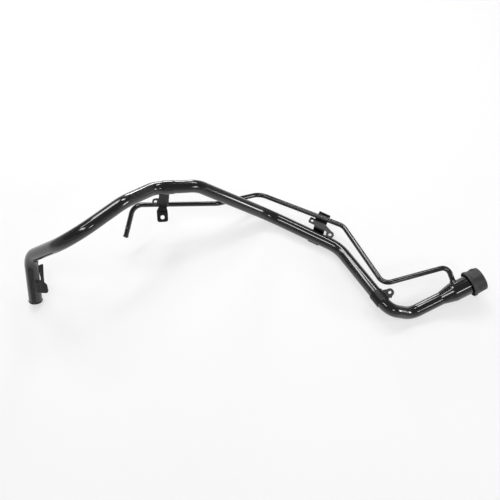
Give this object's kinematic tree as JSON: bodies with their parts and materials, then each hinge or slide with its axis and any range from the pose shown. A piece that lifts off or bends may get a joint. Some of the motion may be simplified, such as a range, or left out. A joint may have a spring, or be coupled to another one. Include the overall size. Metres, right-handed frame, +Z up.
{
  "type": "fuel filler neck",
  "caption": "Bent steel fuel filler neck with a flared head, a moulded collar and sprung nozzle flap in its mouth, a slim vent pipe beside it and sheet brackets.",
  "frame": {"origin": "on the floor that the neck lies on, under the middle of its box", "axes": "+X along the neck from the tank end to the mouth, +Y towards the back, where the vent pipe runs, +Z up from the floor"},
  "size_m": [1.1339, 0.3536, 0.2515],
  "materials": {
    "gloss_coat": "gloss black coat over steel",
    "satin_coat": "satin black coat over sheet steel",
    "collar_plastic": "matte moulded dark grey plastic",
    "insert_plastic": "matte moulded black plastic",
    "plated_steel": "dull plated pressed steel",
    "spring_steel": "bright drawn steel"
  },
  "bodies": {
    "neck": {"tank_pipe": "gloss_coat", "main_pipe": "gloss_coat", "filler_head": "gloss_coat", "vent_pipe": "gloss_coat", "slip_joint_braze": "gloss_coat", "vent_joint_braze": "gloss_coat", "mouth_collar": "collar_plastic", "cap_insert": "insert_plastic", "restrictor_cup": "plated_steel", "flap_hinge_pin": "spring_steel", "arch_bracket": "satin_coat", "middle_bracket": "satin_coat", "band_bracket": "satin_coat", "tank_bracket": "satin_coat", "arch_bracket_welds": "satin_coat", "middle_bracket_welds": "satin_coat", "tank_bracket_welds": "satin_coat"},
    "flap": {"restrictor_flap": "plated_steel", "flap_spring": "spring_steel"}
  },
  "joints": [
    {"name": "flap_hinge", "type": "hinge", "parent": "neck", "child": "flap", "pos_m": [0.49261, -0.11022, 0.05922], "axis": [-0.4, 0.9165, 0], "range_deg": [0, 70], "stiffness_Nm_per_rad": 0.01, "springref_deg": -34.38, "deforming": ["flap_spring"]}
  ]
}
